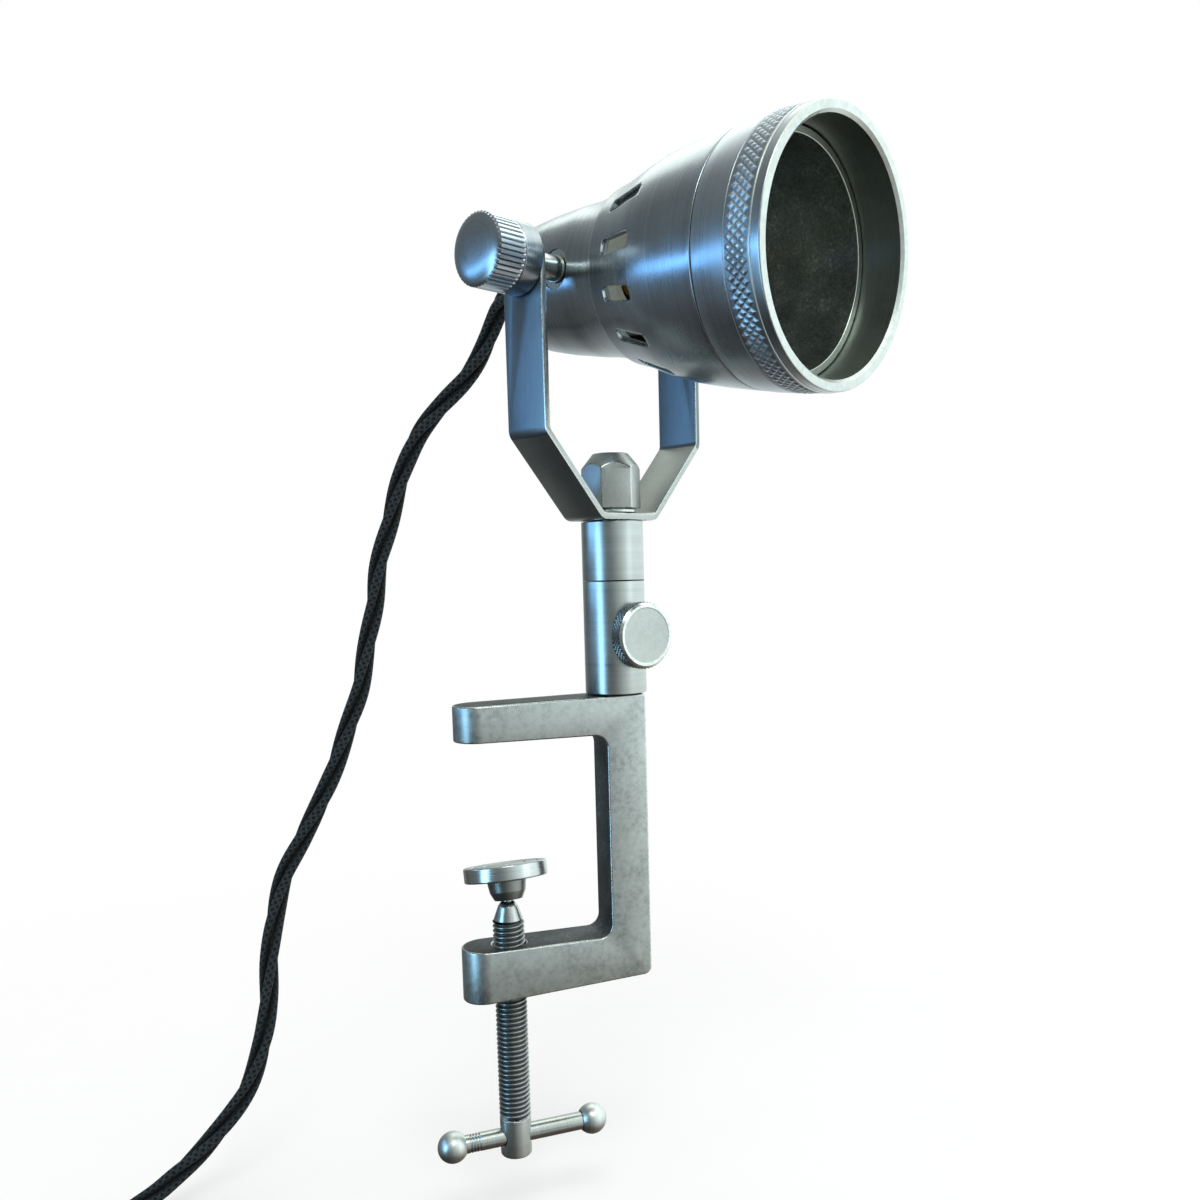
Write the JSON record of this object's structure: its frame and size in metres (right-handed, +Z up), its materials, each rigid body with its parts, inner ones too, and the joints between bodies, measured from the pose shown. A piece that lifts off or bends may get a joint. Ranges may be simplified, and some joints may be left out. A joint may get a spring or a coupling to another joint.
{
  "type": "clamp desk lamp",
  "caption": "Clamp desk lamp: a vented bell head tilts in a bent yoke on a swivelling post, held by a screw clamp, with a twisted cord.",
  "frame": {"origin": "on the flat underside of the upper jaw, over the axis of the clamp screw, where the table's top edge touches", "axes": "+Z up along the post and the clamp screw, +X from the jaw tips towards the frame's bar and post, +Y to the clamp's left side seen from the bar"},
  "size_m": [0.2556, 0.2547, 0.3193],
  "materials": {
    "satin_steel": "satin, brushed along its faces",
    "dark_steel": "satin, turned, with a cool tint",
    "bright_steel": "fine turned",
    "brass": "bright",
    "ceramic": "matt",
    "frosted_glass": "frosted",
    "cloth": "braided",
    "black_plastic": "satin"
  },
  "bodies": {
    "clamp": {"clamp_frame": "satin_steel", "post_socket": "satin_steel"},
    "lock_screw": {"lock_screw": "bright_steel"},
    "swivel": {"post_stem": "satin_steel", "yoke": "dark_steel", "yoke_washer": "bright_steel", "cap_nut": "bright_steel", "cord_run": "cloth", "cord_mid": "cloth", "cord_coil": "cloth", "cord_tail": "cloth", "coil_tie": "black_plastic", "switch_lower": "black_plastic", "switch_upper": "black_plastic", "plug_body": "black_plastic", "plug_blade_left": "brass", "plug_blade_right": "brass", "plug_earth_pin": "brass"},
    "rocker": {"switch_rocker": "black_plastic"},
    "head": {"neck_cup": "dark_steel", "bell": "dark_steel", "lamp_holder": "ceramic", "holder_shell": "brass", "bulb_cap": "brass", "bulb_glass": "frosted_glass", "cord_gland": "dark_steel", "gland_nut": "bright_steel", "pivot_stud_left": "bright_steel", "pivot_stud_right": "bright_steel", "pivot_cap_nut": "bright_steel", "cord_head": "cloth"},
    "bezel": {"bezel_ring": "dark_steel"},
    "tilt_knob": {"tilt_knob": "bright_steel"},
    "screw_tip": {"swivel_tip": "bright_steel"},
    "clamp_screw": {"clamp_screw": "satin_steel"},
    "cross_bar": {"tommy_bar": "satin_steel", "tommy_ball_left": "bright_steel", "tommy_ball_right": "bright_steel"},
    "pad": {"pad": "bright_steel"}
  },
  "joints": [
    {"name": "post_swivel", "type": "hinge", "parent": "clamp", "child": "swivel", "pos_m": [0.0368, 0, 0.03], "axis": [0, 0, 1], "range_deg": [-180, 180]},
    {"name": "lock_screw_turn", "type": "hinge", "parent": "clamp", "child": "lock_screw", "pos_m": [0.0368, 0, 0.0303], "axis": [0.319, -0.9478, 0], "range_deg": [0, 360]},
    {"name": "head_tilt", "type": "hinge", "parent": "swivel", "child": "head", "pos_m": [0.0368, 0, 0.1364], "axis": [-0.8746, -0.4848, 0], "range_deg": [-36, 90]},
    {"name": "tilt_knob_turn", "type": "hinge", "parent": "head", "child": "tilt_knob", "pos_m": [0.0368, 0, 0.1364], "axis": [-0.8746, -0.4848, 0], "range_deg": [0, 360]},
    {"name": "bezel_turn", "type": "hinge", "parent": "head", "child": "bezel", "pos_m": [0.0368, 0, 0.1364], "axis": [0.4825, -0.8705, -0.0973], "range_deg": [0, 1440]},
    {"name": "jaw_travel", "type": "slide", "parent": "clamp", "child": "screw_tip", "axis": [0, 0, 1], "range_m": [-0.011, 0.036]},
    {"name": "screw_turn", "type": "hinge", "parent": "screw_tip", "child": "clamp_screw", "pos_m": [0, 0, -0.09], "axis": [0, 0, 1], "range_deg": [-2650, 8650]},
    {"name": "cross_bar_slide", "type": "slide", "parent": "clamp_screw", "child": "cross_bar", "axis": [0.9986, 0.0523, 0], "range_m": [-0.015, 0.01]},
    {"name": "pad_tilt", "type": "hinge", "parent": "screw_tip", "child": "pad", "pos_m": [0, 0, -0.0456], "axis": [-0.9839, -0.1788, 0], "range_deg": [-19.6, 0]},
    {"name": "rocker_press", "type": "hinge", "parent": "swivel", "child": "rocker", "pos_m": [-0.15, -0.055, -0.1378], "axis": [1, 0, 0], "range_deg": [-14, 0]}
  ],
  "couplings": [
    {"joint": "screw_turn", "follows": "jaw_travel", "rad_per_m": 4188.8}
  ]
}
